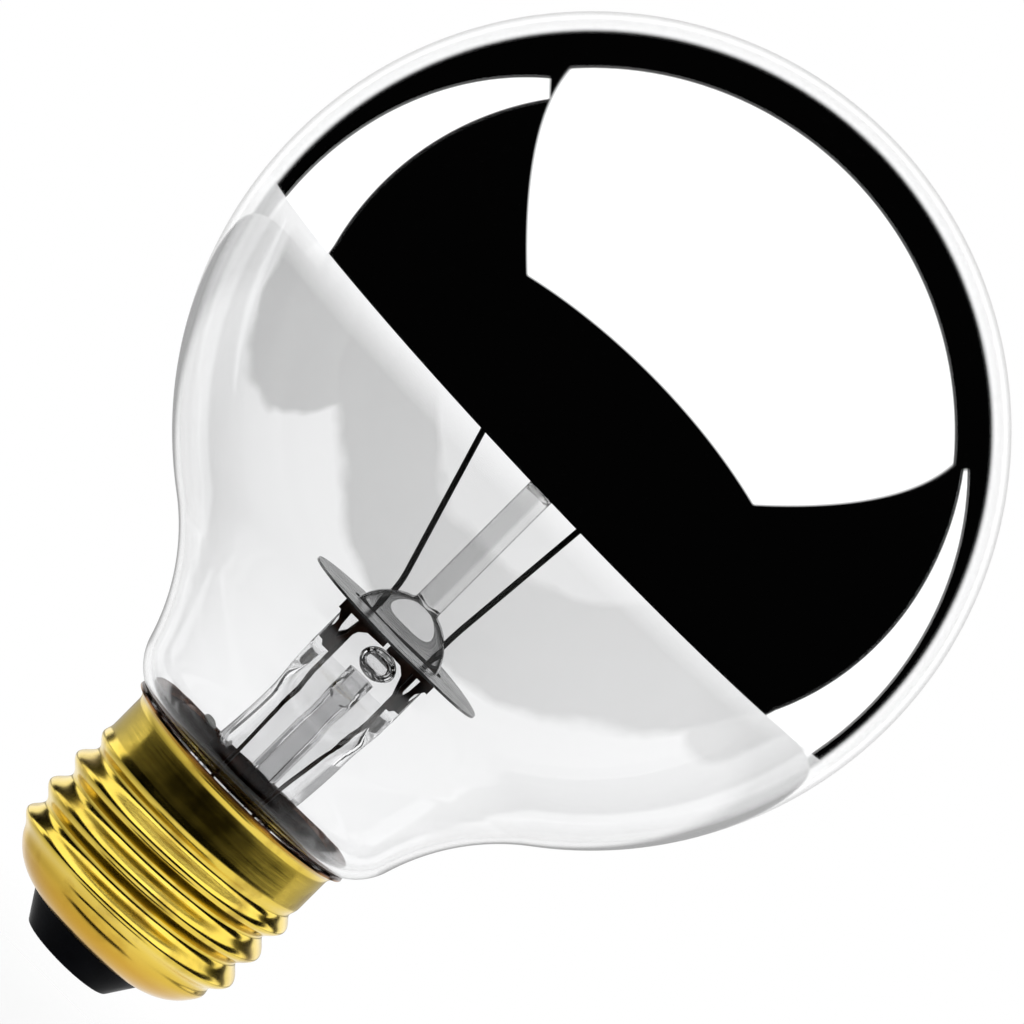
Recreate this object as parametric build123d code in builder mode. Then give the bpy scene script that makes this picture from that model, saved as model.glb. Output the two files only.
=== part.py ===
from build123d import *
import os
from math import acos, asin, atan2, ceil, cos, degrees, hypot, radians, sin, sqrt

# A half mirrored globe lamp on a medium screw base, in millimetres. The origin is the tip of the
# centre contact, and +Z is the lamp's axis from the cap to the crown of the globe. The two lead
# wires stand in the XZ plane, and the filament bows out towards +Y.

# Cap: contact and insulator
solder_height = 0.45
solder_radius = 2.2
solder_plug = 1.2
eyelet_radius = 3.0
eyelet_thickness = 0.3
eyelet_edge_round = 0.12
eyelet_neck_radius = 1.6
eyelet_neck_wall = 0.5
eyelet_neck_length = 2.0
insulator_end_radius = 5.1
insulator_end_round = 0.35
insulator_cone_height = 3.1
insulator_fill = 2.4  # depth of the glass inside the shell

# Cap: rolled screw shell
shell_wall = 0.25
shell_mouth_radius = 7.1
shell_round = 6.2
thread_pitch = 3.629
thread_radius = 12.48  # middle of the thread form, and outside of the plain skirt
thread_depth = 1.19
thread_length = 13.6
thread_lead_in = 0.2  # between the insulator and the start of the thread
thread_crest_rise = 7.2  # one crest on the +X side, above the start of the thread
thread_runout = 2.6
sections_per_turn = 12
skirt_height = 3.3
lip_round = 1.24
lip_turn = 75.0

# Bulb glass and its mirror
globe_radius = 39.7
glass_wall = 0.7
neck_length = 7.36  # from the lip of the cap to the lowest point of the whole globe
globe_fillet = 23.4  # hollow sweep from the globe into the shoulder
shoulder_round = 6.0  # bulge of the glass just above the cap
shoulder_proud = 3.72  # of the shoulder beyond the skirt of the cap
shoulder_rise = 5.4
neck_fillet = 4.0
neck_room = 0.735  # between the neck and the narrowest part of the thread
neck_depth = 9.44  # from the lip of the cap down to the end of the neck
mirror_edge_drop = 4.6  # edge of the mirror below the middle of the globe
mirror_tilt = 1.7  # the edge is a little higher on the -X side
mirror_film = 0.1
mirror_room = 0.1  # between the film and the inside of the glass
cement_clearance = 0.2  # above the end of the thread
cement_drop = 0.64  # below the edge of the lip

# Stem: trumpet, tube, pinched press and blow hole
mount_shift = 0.7  # the press stands a little to the side of the lamp's axis
stem_radius = 5.1
stem_wall = 0.8
stem_length = 18.0
pinch_length = 6.0
press_width = 11.0
press_thickness = 3.5
press_height = 9.7
press_edge_round = 1.2
pinch_slit_half_width = 4.6
pinch_slit_half_gap = 0.4
press_floor = 1.0  # solid glass between the end of the slit and the press
exhaust_shift = 1.0
exhaust_radius = 1.5
exhaust_bore_radius = 0.85
exhaust_clearance = 3.2  # between the sealed tip and the insulator
exhaust_embed = 0.9
blow_hole_rise = 2.3
blow_ring_radius = 1.5
blow_ring_height = 0.3

# Heat disc and the clips that carry it
disc_room = 0.3  # the disc is smaller than the neck that it goes in through
disc_thickness = 0.25
disc_drop = 4.1  # below the top of the press
disc_slot_clearance = 0.2
clip_strip = 0.3
clip_gap = 0.1
clip_end_height = 1.6
clip_foot_room = 0.15  # between the feet of the clips and the start of the press
clip_tab_length = 2.0
clip_tab_width = 2.4
clip_tongue_room = 0.2  # between the end of a clip's tongue and the middle of the press
# Outline and window of a clip's side, as (reach beyond the end of the press, share of the leg's length)
clip_side = (
    (clip_gap + clip_strip, 0),
    (clip_gap + clip_strip, 0.22),
    (-0.4, 0.45),
    (-0.6, 0.9),
    (-1.0, 1),
    (-1.9, 1),
    (-1.9, 0.75),
    (-2.6, 0.38),
    (-3.3, 0.27),
    (clip_tongue_room - press_width / 2, 0.25),
    (clip_tongue_room - press_width / 2, 0),
)
clip_window = ((-0.9, 0.22), (-1.0, 0.5), (-1.4, 0.75), (-1.9, 0.55), (-2.1, 0.22))

# Wires
lead_x = {"left": -2.6, "right": 4.5}
lead_top_x = {"left": -8.9, "right": 6.3}
seal_wire_diameter = 0.5
seal_wire_tail = 2.7  # below the press
seal_wire_cover = 3.2  # below the top of the press
inner_lead_diameter = 0.6
inner_lead_bend_drop = 0.3
inner_lead_bend = 2.0
outer_lead_diameter = 0.4
outer_lead_bend = 1.0
outer_lead_waist = {"left": -2.3, "right": 3.1}
outer_lead_waist_drop = 6.5  # below the start of the pinch
lead_clearance = 0.2
centre_lead_turn_rise = 0.4  # above the exhaust tip, where it turns in to the axis
centre_lead_entry = 1.0  # above the insulator, where it meets the axis
centre_lead_end = 0.4
side_lead_angle = 120.0  # direction in which the side lead leaves the stem, from +X
side_lead_drop = 0.9  # below the rim of the trumpet
side_lead_clearance = 0.15  # between the side lead and the neck
side_lead_end_drop = 0.74  # below the edge of the lip
side_solder_radius = 0.9
side_solder_drop = 0.25  # middle of the bead below the edge of the lip

# Filament, its supports and the rod
rod_radius = 1.45
rod_embed = 1.2
rod_length = 18.5
button_radius = 2.3
filament_diameter = 0.6
filament_rise = 3.5  # above the top of the rod
filament_tail = 6.0  # degrees past each lead
support_diameter = 0.25
support_angles = (45.0, 90.0, 135.0)
support_embed = 1.2
hook_gap = 0.05

# Cap: heights and radii that follow
insulator_end = solder_height + eyelet_thickness
mouth_height = insulator_end + insulator_cone_height
insulator_top = mouth_height + insulator_fill
round_radius = thread_radius - shell_round
round_height = mouth_height + sqrt(shell_round**2 - (shell_mouth_radius - round_radius) ** 2)
thread_start = insulator_top + thread_lead_in
thread_end = thread_start + thread_length
thread_crest = thread_start + thread_crest_rise
skirt_top = thread_end + skirt_height
skirt_bore = thread_radius - shell_wall
lip_centre = thread_radius + lip_round
lip_height = skirt_top + (lip_round + shell_wall) * sin(radians(lip_turn))

# Bulb: heights and radii that follow
globe_height = lip_height + neck_length + globe_radius
crown_height = globe_height + globe_radius
shoulder_radius = thread_radius + shoulder_proud - shoulder_round
shoulder_height = lip_height + shoulder_rise
neck_radius = skirt_bore - thread_depth / 2 - neck_room
neck_end = lip_height - neck_depth
neck_fillet_radius = neck_radius + neck_fillet
neck_fillet_aside = neck_fillet_radius - shoulder_radius
neck_fillet_height = shoulder_height - sqrt((shoulder_round + neck_fillet) ** 2 - neck_fillet_aside**2)
cement_bottom = thread_end + cement_clearance
cement_top = lip_height - cement_drop

# Mount: heights and radii that follow
trumpet_round = neck_radius - glass_wall - stem_radius
trumpet_top = neck_end + trumpet_round
pinch_start = neck_end + stem_length
press_start = pinch_start + pinch_length
press_top = press_start + press_height
press_left = mount_shift - press_width / 2
press_right = mount_shift + press_width / 2
press_shoulder = press_top - press_width / 2
exhaust_tip = insulator_top + exhaust_clearance
exhaust_top = press_start + exhaust_embed
blow_hole_height = press_start + blow_hole_rise
disc_radius = neck_radius - disc_room
disc_underside = press_top - disc_drop - disc_thickness / 2
seal_wire_bottom = press_start - seal_wire_tail
seal_wire_top = press_top - seal_wire_cover
outer_lead_waist_height = pinch_start - outer_lead_waist_drop
side_lead_end = lip_height - side_lead_end_drop
rod_base = press_top - rod_embed
rod_top = rod_base + rod_length
filament_height = rod_top + filament_rise


def globe_fillet_centre():
    """Middle of the arc that touches both the globe and the shoulder from outside, as (r, z)."""
    to_globe = globe_radius + globe_fillet
    to_shoulder = shoulder_round + globe_fillet
    span = hypot(shoulder_radius, globe_height - shoulder_height)
    along = (to_globe**2 - to_shoulder**2 + span**2) / (2 * span)
    aside = sqrt(to_globe**2 - along**2)
    run = (shoulder_radius / span, (shoulder_height - globe_height) / span)
    return (run[0] * along - run[1] * aside, globe_height + run[1] * along + run[0] * aside)


def bearing(start, end):
    """Angle in degrees of the line from one (r, z) point to another."""
    return degrees(atan2(end[1] - start[1], end[0] - start[0]))


def bulb_outline(inset):
    """Outline of the bulb from the end of the neck to the crown, moved into the glass by inset."""
    globe = (0, globe_height)
    sweep_centre = globe_fillet_centre()
    shoulder = (shoulder_radius, shoulder_height)
    neck = (neck_fillet_radius, neck_fillet_height)
    Line((neck_radius - inset, neck_end), (neck_radius - inset, neck_fillet_height))
    turn = 180 - bearing(neck, shoulder)
    CenterArc(neck, neck_fillet + inset, 180, -turn)
    turn = bearing(shoulder, sweep_centre) - bearing(shoulder, neck)
    CenterArc(shoulder, shoulder_round - inset, bearing(shoulder, neck), turn)
    turn = bearing(sweep_centre, shoulder) - bearing(sweep_centre, globe)
    CenterArc(sweep_centre, globe_fillet + inset, bearing(sweep_centre, shoulder), -turn)
    CenterArc(globe, globe_radius - inset, bearing(globe, sweep_centre), 90 - bearing(globe, sweep_centre))


def shell_radius(height, inset):
    """Radius of the shell's level section, which rounds in towards the mouth at the lower end."""
    below = max(round_height - height, 0)
    return round_radius + sqrt((shell_round - inset) ** 2 - below**2)


def thread_fullness(height):
    """Share of the thread's depth, which fades out smoothly over the run-out at either end."""
    reach = min(height - thread_start, thread_end - height) / thread_runout
    share = min(max(reach, 0), 1)
    return share * share * (3 - 2 * share)


def threaded_form(inset):
    """Round bar whose level circles swing about the axis once per pitch: the rolled thread."""
    count = ceil((thread_end - thread_start) / thread_pitch * sections_per_turn)
    with BuildPart() as form:
        for index in range(count + 1):
            height = thread_start + (thread_end - thread_start) * index / count
            turn = radians(360 * (height - thread_crest) / thread_pitch)
            swing = thread_depth / 2 * thread_fullness(height)
            with BuildSketch(Plane.XY.offset(height)):
                with Locations((swing * cos(turn), swing * sin(turn))):
                    Circle(shell_radius(height, inset))
        loft()
    return form.part


def wire_along(points, bend, diameter):
    """Round wire along straight runs, with one bend radius at every corner."""
    with BuildPart() as wire:
        with BuildLine() as route:
            FilletPolyline(*points, radius=bend)
        with BuildSketch(Plane(origin=route.line @ 0, z_dir=route.line % 0)):
            Circle(diameter / 2)
        sweep()
    return wire.part


def hook_round(centre, axis, diameter):
    """Ring of wire that closes round the filament."""
    ring_radius = filament_diameter / 2 + hook_gap + diameter / 2
    with BuildPart(Plane(origin=centre, z_dir=axis)) as hook:
        Torus(ring_radius, diameter / 2)
    return hook.part


# Bulb, blown as one piece from the neck to the crown
with BuildPart() as glass_envelope:
    with BuildSketch(Plane.XZ):
        with BuildLine():
            bulb_outline(0)
            bulb_outline(glass_wall)
            Line((neck_radius - glass_wall, neck_end), (neck_radius, neck_end))
            Line((0, crown_height - glass_wall), (0, crown_height))
        make_face()
    revolve(axis=Axis.Z)

# Mirror film on the inside of the crown, turned about an axis that leans a little from the lamp's own
mirror_lean = radians(mirror_tilt)
mirror_axis = Axis((0, 0, globe_height), (sin(mirror_lean), 0, cos(mirror_lean)))
mirror_plane = Plane((0, 0, globe_height), x_dir=(cos(mirror_lean), 0, -sin(mirror_lean)), z_dir=(0, -1, 0))
with BuildPart() as mirror_coating:
    with BuildSketch(mirror_plane):
        with BuildLine():
            outer = globe_radius - glass_wall - mirror_room
            inner = outer - mirror_film
            outer_edge = -degrees(asin(mirror_edge_drop / outer))
            inner_edge = -degrees(asin(mirror_edge_drop / inner))
            film_back = CenterArc((0, 0), outer, outer_edge, 90 - outer_edge)
            film_face = CenterArc((0, 0), inner, inner_edge, 90 - inner_edge)
            Line(film_back @ 0, film_face @ 0)
            Line(film_back @ 1, film_face @ 1)
        make_face()
    revolve(axis=mirror_axis)

# Skirt of the shell, with its flared lip
with BuildPart() as skirt:
    with BuildSketch(Plane.XZ):
        with BuildLine():
            outside = Line((thread_radius, thread_end), (thread_radius, skirt_top))
            inside = Line((skirt_bore, thread_end), (skirt_bore, skirt_top))
            flare = CenterArc((lip_centre, skirt_top), lip_round, 180, -lip_turn)
            back = CenterArc((lip_centre, skirt_top), lip_round + shell_wall, 180, -lip_turn)
            Line(outside @ 0, inside @ 0)
            Line(flare @ 1, back @ 1)
        make_face()
    revolve(axis=Axis.Z)

# Screw shell: rounded end, rolled thread and skirt in one sheet of brass
with BuildPart() as screw_shell:
    add(threaded_form(0))
    add(threaded_form(shell_wall), mode=Mode.SUBTRACT)
    with BuildSketch(Plane.XZ):
        with BuildLine():
            ends = []
            for radius in (shell_round, shell_round - shell_wall):
                first = -degrees(acos((shell_mouth_radius - round_radius) / radius))
                last = -degrees(asin((round_height - thread_start) / radius))
                ends.append(CenterArc((round_radius, round_height), radius, first, last - first))
            Line(ends[0] @ 0, ends[1] @ 0)
            Line(ends[0] @ 1, ends[1] @ 1)
        make_face()
    revolve(axis=Axis.Z)
    add(skirt.part)

# Black glass insulator, cast into the rounded end of the shell
with BuildPart() as insulator:
    with BuildSketch(Plane.XZ):
        with BuildLine():
            inner_round = shell_round - shell_wall
            first = -degrees(acos((shell_mouth_radius - round_radius) / inner_round))
            last = -degrees(asin((round_height - insulator_top) / inner_round))
            seat = CenterArc((round_radius, round_height), inner_round, first, last - first)
            Polyline(
                seat @ 0,
                (shell_mouth_radius, mouth_height),
                (insulator_end_radius, insulator_end),
                (eyelet_neck_radius, insulator_end),
                (eyelet_neck_radius, insulator_top),
                seat @ 1,
            )
        make_face()
    revolve(axis=Axis.Z)
    end_edges = insulator.edges().filter_by(GeomType.CIRCLE).group_by(Axis.Z)[0]
    fillet(end_edges.sort_by(SortBy.RADIUS)[-1:], insulator_end_round)

# Lead to the centre contact, down beside the exhaust tube and through the insulator
centre_lead_x = exhaust_shift + exhaust_radius + lead_clearance + outer_lead_diameter / 2
outer_lead_centre = wire_along(
    [
        (lead_x["right"], 0, seal_wire_bottom),
        (outer_lead_waist["right"], 0, outer_lead_waist_height),
        (centre_lead_x, 0, exhaust_tip + centre_lead_turn_rise),
        (0, 0, insulator_top + centre_lead_entry),
        (0, 0, centre_lead_end),
    ],
    outer_lead_bend,
    outer_lead_diameter,
)

# Lead to the shell, under the rim of the trumpet and up between neck and shell to the lip
side_run = neck_radius + side_lead_clearance + outer_lead_diameter / 2
side_top = neck_fillet_radius - sqrt(neck_fillet**2 - (side_lead_end - neck_fillet_height) ** 2)
side_top = side_top + side_lead_clearance / 2 + outer_lead_diameter / 2
side_low = neck_end - stem_wall - side_lead_drop
out_x = cos(radians(side_lead_angle))
out_y = sin(radians(side_lead_angle))
outer_lead_side = wire_along(
    [
        (lead_x["left"], 0, seal_wire_bottom),
        (outer_lead_waist["left"], 0, outer_lead_waist_height),
        (stem_radius * out_x, stem_radius * out_y, side_low),
        (side_run * out_x, side_run * out_y, side_low),
        (side_run * out_x, side_run * out_y, neck_fillet_height),
        (side_top * out_x, side_top * out_y, side_lead_end),
    ],
    outer_lead_bend,
    outer_lead_diameter,
)

# Contact eyelet: a domed plate with a neck through the insulator
with BuildPart() as contact_eyelet:
    with BuildSketch(Plane.XY.offset(solder_height)):
        Circle(eyelet_radius)
    extrude(amount=eyelet_thickness)
    with BuildSketch(Plane.XY.offset(insulator_end)):
        Circle(eyelet_neck_radius)
    extrude(amount=eyelet_neck_length)
    with BuildSketch(Plane.XY.offset(solder_height)):
        Circle(eyelet_neck_radius - eyelet_neck_wall)
    extrude(amount=eyelet_thickness + eyelet_neck_length, mode=Mode.SUBTRACT)
    plate_edges = contact_eyelet.edges().filter_by(GeomType.CIRCLE).group_by(Axis.Z)[0]
    fillet(plate_edges.sort_by(SortBy.RADIUS)[-1:], eyelet_edge_round)

# Solder on the centre contact, domed outside and run up into the eyelet
with BuildPart() as contact_solder:
    with BuildSketch(Plane.XZ):
        with BuildLine():
            dome_radius = (solder_radius**2 + solder_height**2) / (2 * solder_height)
            dome_half = degrees(asin(solder_radius / dome_radius))
            dome = CenterArc((0, dome_radius), dome_radius, -90, dome_half)
            plug_radius = eyelet_neck_radius - eyelet_neck_wall
            Polyline(
                dome @ 1,
                (plug_radius, solder_height),
                (plug_radius, solder_height + solder_plug),
                (0, solder_height + solder_plug),
                dome @ 0,
            )
        make_face()
    revolve(axis=Axis.Z)
    add(outer_lead_centre, mode=Mode.SUBTRACT)

# Cement ring between the neck and the skirt
with BuildPart() as basing_cement:
    with BuildSketch(Plane.XZ):
        with BuildLine():
            mid_wall = glass_wall / 2
            upper = degrees(asin((cement_top - neck_fillet_height) / (neck_fillet + mid_wall)))
            hollow = CenterArc((neck_fillet_radius, neck_fillet_height), neck_fillet + mid_wall, 180, -upper)
            Polyline(
                hollow @ 1,
                (skirt_bore, cement_top),
                (skirt_bore, cement_bottom),
                (neck_radius - mid_wall, cement_bottom),
                hollow @ 0,
            )
        make_face()
    revolve(axis=Axis.Z)
    add(glass_envelope.part, mode=Mode.SUBTRACT)
    add(outer_lead_side, mode=Mode.SUBTRACT)

# Solder bead that joins the side lead to the lip
with BuildPart() as side_solder:
    bead_run = (side_top + lip_centre) / 2
    with Locations((bead_run * out_x, bead_run * out_y, lip_height - side_solder_drop)):
        Sphere(side_solder_radius)
    add(skirt.part, mode=Mode.SUBTRACT)
    add(glass_envelope.part, mode=Mode.SUBTRACT)
    add(basing_cement.part, mode=Mode.SUBTRACT)
    add(outer_lead_side, mode=Mode.SUBTRACT)

# Exhaust tube, sealed off at its lower tip and open into the press
with BuildPart() as exhaust_tube:
    with BuildSketch(Plane((exhaust_shift, 0, 0), x_dir=(1, 0, 0), z_dir=(0, -1, 0))):
        with BuildLine():
            tip = exhaust_tip + exhaust_radius
            outer_tip = CenterArc((0, tip), exhaust_radius, -90, 90)
            inner_tip = CenterArc((0, tip), exhaust_bore_radius, -90, 90)
            Line(outer_tip @ 0, inner_tip @ 0)
            Polyline(
                outer_tip @ 1,
                (exhaust_radius, exhaust_top),
                (exhaust_bore_radius, exhaust_top),
                inner_tip @ 1,
            )
        make_face()
    revolve(axis=Axis((exhaust_shift, 0, 0), (0, 0, 1)))

# Seal wires and inner leads
seal_wires = {}
inner_leads = {}
for side in lead_x:
    foot = (lead_x[side], 0, seal_wire_top)
    with BuildPart() as seal_wire:
        with BuildSketch(Plane((lead_x[side], 0, seal_wire_bottom))):
            Circle(seal_wire_diameter / 2)
        extrude(amount=seal_wire_top - seal_wire_bottom)
    seal_wires[side] = seal_wire.part
    bend_point = Vector(lead_x[side], 0, press_top - inner_lead_bend_drop)
    filament_point = Vector(lead_top_x[side], 0, filament_height)
    hook_reach = filament_diameter / 2 + hook_gap + inner_lead_diameter / 2
    run_end = filament_point - (filament_point - bend_point).normalized() * hook_reach
    with BuildPart() as inner_lead:
        add(wire_along([foot, bend_point, run_end], inner_lead_bend, inner_lead_diameter))
        add(hook_round(filament_point, (0, 1, 0), inner_lead_diameter))
    inner_leads[side] = inner_lead.part

# Filament: the coil's outer form, bowed from one lead to the other
filament_middle = (lead_top_x["left"] + lead_top_x["right"]) / 2
filament_reach = (lead_top_x["right"] - lead_top_x["left"]) / 2
with BuildPart() as filament:
    with BuildLine() as bow:
        bow_centre = (filament_middle, 0, filament_height)
        CenterArc(bow_centre, filament_reach, -filament_tail, 180 + 2 * filament_tail)
    with BuildSketch(Plane(origin=bow.line @ 0, z_dir=bow.line % 0)):
        Circle(filament_diameter / 2)
    sweep()

# Support wires from the button of the rod to the filament
rod_foot = Vector(mount_shift, 0, rod_base)
rod_head = Vector(mount_shift, 0, rod_top)
supports = []
for angle in support_angles:
    outward = Vector(cos(radians(angle)), sin(radians(angle)), 0)
    along = Vector(-sin(radians(angle)), cos(radians(angle)), 0)
    hold = Vector(filament_middle, 0, filament_height) + outward * filament_reach
    back = rod_head - hold
    back = (back - along * back.dot(along)).normalized()
    ring_point = hold + back * (filament_diameter / 2 + hook_gap + support_diameter / 2)
    start = rod_head + (ring_point - rod_head).normalized() * (button_radius - support_embed)
    with BuildPart() as support:
        with BuildSketch(Plane(origin=start, z_dir=ring_point - start)):
            Circle(support_diameter / 2)
        extrude(amount=(ring_point - start).length)
        add(hook_round(hold, along, support_diameter))
    supports.append(support.part)

# Glass rod with its button, which stands on the press and holds the support wires
with BuildPart() as support_rod:
    with BuildSketch(Plane(origin=rod_foot, z_dir=rod_head - rod_foot)):
        Circle(rod_radius)
    extrude(amount=(rod_head - rod_foot).length)
    with Locations(rod_head):
        Sphere(button_radius)
    for support in supports:
        add(support, mode=Mode.SUBTRACT)

# Stem: trumpet, tube, pinched press and blow hole, fused into one glass
with BuildPart() as stem_flare:
    with BuildSketch(Plane.XZ):
        with BuildLine():
            Polyline(
                (press_left, press_shoulder),
                (press_left, press_start),
                (press_right, press_start),
                (press_right, press_shoulder),
            )
            CenterArc((mount_shift, press_shoulder), press_width / 2, 0, 180)
        make_face()
    extrude(amount=press_thickness / 2, both=True)
    sides = stem_flare.faces().sort_by(Axis.Y)
    outline = sides[0].edges() + sides[-1].edges()
    fillet(outline.filter_by(lambda edge: edge.center().Z > press_start + press_edge_round), press_edge_round)
    with BuildSketch(Plane.XZ.offset(press_thickness / 2)):
        with Locations((exhaust_shift, blow_hole_height)):
            Circle(blow_ring_radius)
    extrude(amount=blow_ring_height)
    with BuildSketch(Plane((mount_shift, 0, pinch_start))):
        Circle(stem_radius)
    with BuildSketch(Plane((mount_shift, 0, press_start))):
        Ellipse(press_width / 2, press_thickness / 2)
    loft()
    with BuildSketch(Plane.XY.offset(trumpet_top)):
        Circle(stem_radius)
    with BuildSketch(Plane((mount_shift, 0, pinch_start))):
        Circle(stem_radius)
    loft()
    with BuildSketch(Plane.XY.offset(trumpet_top)):
        Circle(stem_radius - stem_wall)
    with BuildSketch(Plane((mount_shift, 0, pinch_start))):
        Circle(stem_radius - stem_wall)
    loft(mode=Mode.SUBTRACT)
    with BuildSketch(Plane((mount_shift, 0, pinch_start))):
        Circle(stem_radius - stem_wall)
    with BuildSketch(Plane((mount_shift, 0, press_start - press_floor))):
        Ellipse(pinch_slit_half_width, pinch_slit_half_gap)
    loft(mode=Mode.SUBTRACT)
    with BuildSketch(Plane.XZ):
        with BuildLine():
            trumpet_middle = (neck_radius - glass_wall, trumpet_top)
            upper_face = CenterArc(trumpet_middle, trumpet_round, 180, 90)
            lower_face = CenterArc(trumpet_middle, trumpet_round + stem_wall, 180, 90)
            Line(upper_face @ 0, lower_face @ 0)
            Polyline(
                upper_face @ 1,
                (neck_radius, neck_end),
                (neck_radius, neck_end - stem_wall),
                lower_face @ 1,
            )
        make_face()
    revolve(axis=Axis.Z)
    with BuildSketch(Plane((exhaust_shift, 0, trumpet_top))):
        Circle(exhaust_radius)
    extrude(amount=exhaust_top - trumpet_top, mode=Mode.SUBTRACT)
    with BuildSketch(Plane((exhaust_shift, 0, exhaust_top))):
        Circle(exhaust_bore_radius)
    extrude(amount=blow_hole_height - exhaust_top, mode=Mode.SUBTRACT)
    with BuildSketch(Plane.XZ):
        with Locations((exhaust_shift, blow_hole_height)):
            Circle(exhaust_bore_radius)
    extrude(amount=press_thickness / 2 + blow_ring_height, mode=Mode.SUBTRACT)
    for embedded in (*seal_wires.values(), *inner_leads.values(), support_rod.part):
        add(embedded, mode=Mode.SUBTRACT)

# Heat disc, slotted over the press
with BuildPart() as heat_disc:
    with BuildSketch(Plane((mount_shift, 0, disc_underside))):
        Circle(disc_radius)
        RectangleRounded(
            press_width + 2 * disc_slot_clearance,
            press_thickness + 2 * disc_slot_clearance,
            press_edge_round + disc_slot_clearance,
            mode=Mode.SUBTRACT,
        )
    extrude(amount=disc_thickness)

# Clips: clawed strips folded round the ends of the press, each with a tab under the disc
clips = {}
clip_leg = disc_underside - press_start - clip_foot_room
clip_face = press_thickness / 2 + clip_gap
for side, sign, press_end in (("left", -1, press_left), ("right", 1, press_right)):
    claw = [(press_end + sign * reach, disc_underside - share * clip_leg) for reach, share in clip_side]
    opening = [(press_end + sign * reach, disc_underside - share * clip_leg) for reach, share in clip_window]
    gap_end = press_end + sign * clip_gap
    strip_end = gap_end + sign * clip_strip
    tab_end = strip_end + sign * clip_tab_length
    with BuildPart() as clip:
        for level in (clip_face, -clip_face - clip_strip):
            with BuildSketch(Plane.XZ.offset(level)):
                with BuildLine():
                    Polyline(*claw, close=True)
                make_face()
                with BuildLine():
                    Polyline(*opening, close=True)
                make_face(mode=Mode.SUBTRACT)
            extrude(amount=clip_strip)
        with BuildSketch(Plane.XY.offset(disc_underside - clip_end_height)):
            with Locations(((gap_end + strip_end) / 2, 0)):
                Rectangle(clip_strip, 2 * (clip_face + clip_strip))
        extrude(amount=clip_end_height)
        with BuildSketch(Plane.XY.offset(disc_underside - clip_strip)):
            with Locations(((gap_end + tab_end) / 2, 0)):
                Rectangle(abs(tab_end - gap_end), clip_tab_width)
        extrude(amount=clip_strip)
    clips[side] = clip.part

# One file for each piece
pieces = {
    "glass_envelope": glass_envelope.part,
    "mirror_coating": mirror_coating.part,
    "stem_flare": stem_flare.part,
    "exhaust_tube": exhaust_tube.part,
    "support_rod": support_rod.part,
    "heat_disc": heat_disc.part,
    "filament": filament.part,
    "outer_lead_centre": outer_lead_centre,
    "outer_lead_side": outer_lead_side,
    "screw_shell": screw_shell.part,
    "insulator": insulator.part,
    "contact_eyelet": contact_eyelet.part,
    "contact_solder": contact_solder.part,
    "side_solder": side_solder.part,
    "basing_cement": basing_cement.part,
}
for side in lead_x:
    pieces["seal_wire_" + side] = seal_wires[side]
    pieces["inner_lead_" + side] = inner_leads[side]
    pieces["disc_clip_" + side] = clips[side]
for number, support in enumerate(supports, start=1):
    pieces["filament_support_" + str(number)] = support

os.makedirs("parts", exist_ok=True)
for name, piece in pieces.items():
    piece.label = name
    export_step(piece, "parts/" + name + ".step")
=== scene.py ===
# %% [markdown]
# # A half mirrored globe lamp
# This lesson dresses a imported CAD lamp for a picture. The CAD gives one fixed frame in metres, with the tip
# of the centre contact at the origin and +Z along the lamp's axis. Every new piece below is a surface worked
# out with numpy in that same frame, so nothing has to be fitted by hand afterwards.

import math

import bpy
import numpy as np
from mathutils import Matrix, Vector


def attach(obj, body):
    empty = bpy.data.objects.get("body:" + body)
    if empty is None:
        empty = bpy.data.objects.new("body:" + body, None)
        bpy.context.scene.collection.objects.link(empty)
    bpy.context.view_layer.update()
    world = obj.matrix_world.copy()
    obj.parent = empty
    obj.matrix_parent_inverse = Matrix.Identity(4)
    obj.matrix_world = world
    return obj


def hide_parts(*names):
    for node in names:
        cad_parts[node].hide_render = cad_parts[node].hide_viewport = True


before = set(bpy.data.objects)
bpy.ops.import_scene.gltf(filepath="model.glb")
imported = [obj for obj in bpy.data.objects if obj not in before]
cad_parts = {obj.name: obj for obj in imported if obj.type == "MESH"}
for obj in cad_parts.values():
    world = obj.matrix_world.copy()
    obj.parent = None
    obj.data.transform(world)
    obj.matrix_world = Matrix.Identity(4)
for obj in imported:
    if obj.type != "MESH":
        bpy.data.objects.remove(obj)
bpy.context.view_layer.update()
MM = 0.001

# %% [markdown]
# ## The sizes that the pieces share
# The lamp is turned work: nearly every piece is a profile of arcs spun round the axis. The values here are
# the CAD's own, in millimetres, and the middles of arcs are (radius, height) pairs. Naming them once keeps
# the glass, the mirror, the cement and the brass in step where they meet.

# %% Sizes of the bulb glass
globe_middle = 71.849
globe_radius = 39.7
glass_wall = 0.7
mirror_drop = 4.6
mirror_tilt = math.radians(1.7)
sweep_middle = (38.363, 21.75)
sweep_radius = 23.4
shoulder_middle = (10.2, 30.189)
shoulder_round = 6.0
neck_hollow_middle = (14.9, 21.363)
neck_hollow = 4.0
neck_end = 15.349
print("globe", 2 * globe_radius, "mm across, its middle", globe_middle, "mm above the contact")

# %% Sizes of the cap
mouth = (7.1, 3.85)
end_round_middle = (6.28, 9.9955)
end_round = 6.2
thread_start, thread_end = 6.45, 20.05
thread_middle_radius = 12.48
thread_depth = 1.19
thread_pitch = 3.629
thread_crest = 13.65
thread_runout = 2.6
sheet = 0.25
skirt_top = 23.35
lip_middle = 13.72
lip_round = 1.24
lip_turn = 75.0
print("thread", round((thread_end - thread_start) / thread_pitch, 2), "turns of", thread_pitch, "mm")

# %% [markdown]
# ## Helpers: arcs, rings and skins
# A profile is a list of (radius, height) points. Spinning it gives a stack of rings, and a skin of quads
# between the rings makes the mesh. Blender could do this with a Screw modifier, but whole numpy arrays let
# the same helper take rings that swing off the axis (the thread) or change from round to flat (the stem).

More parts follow.
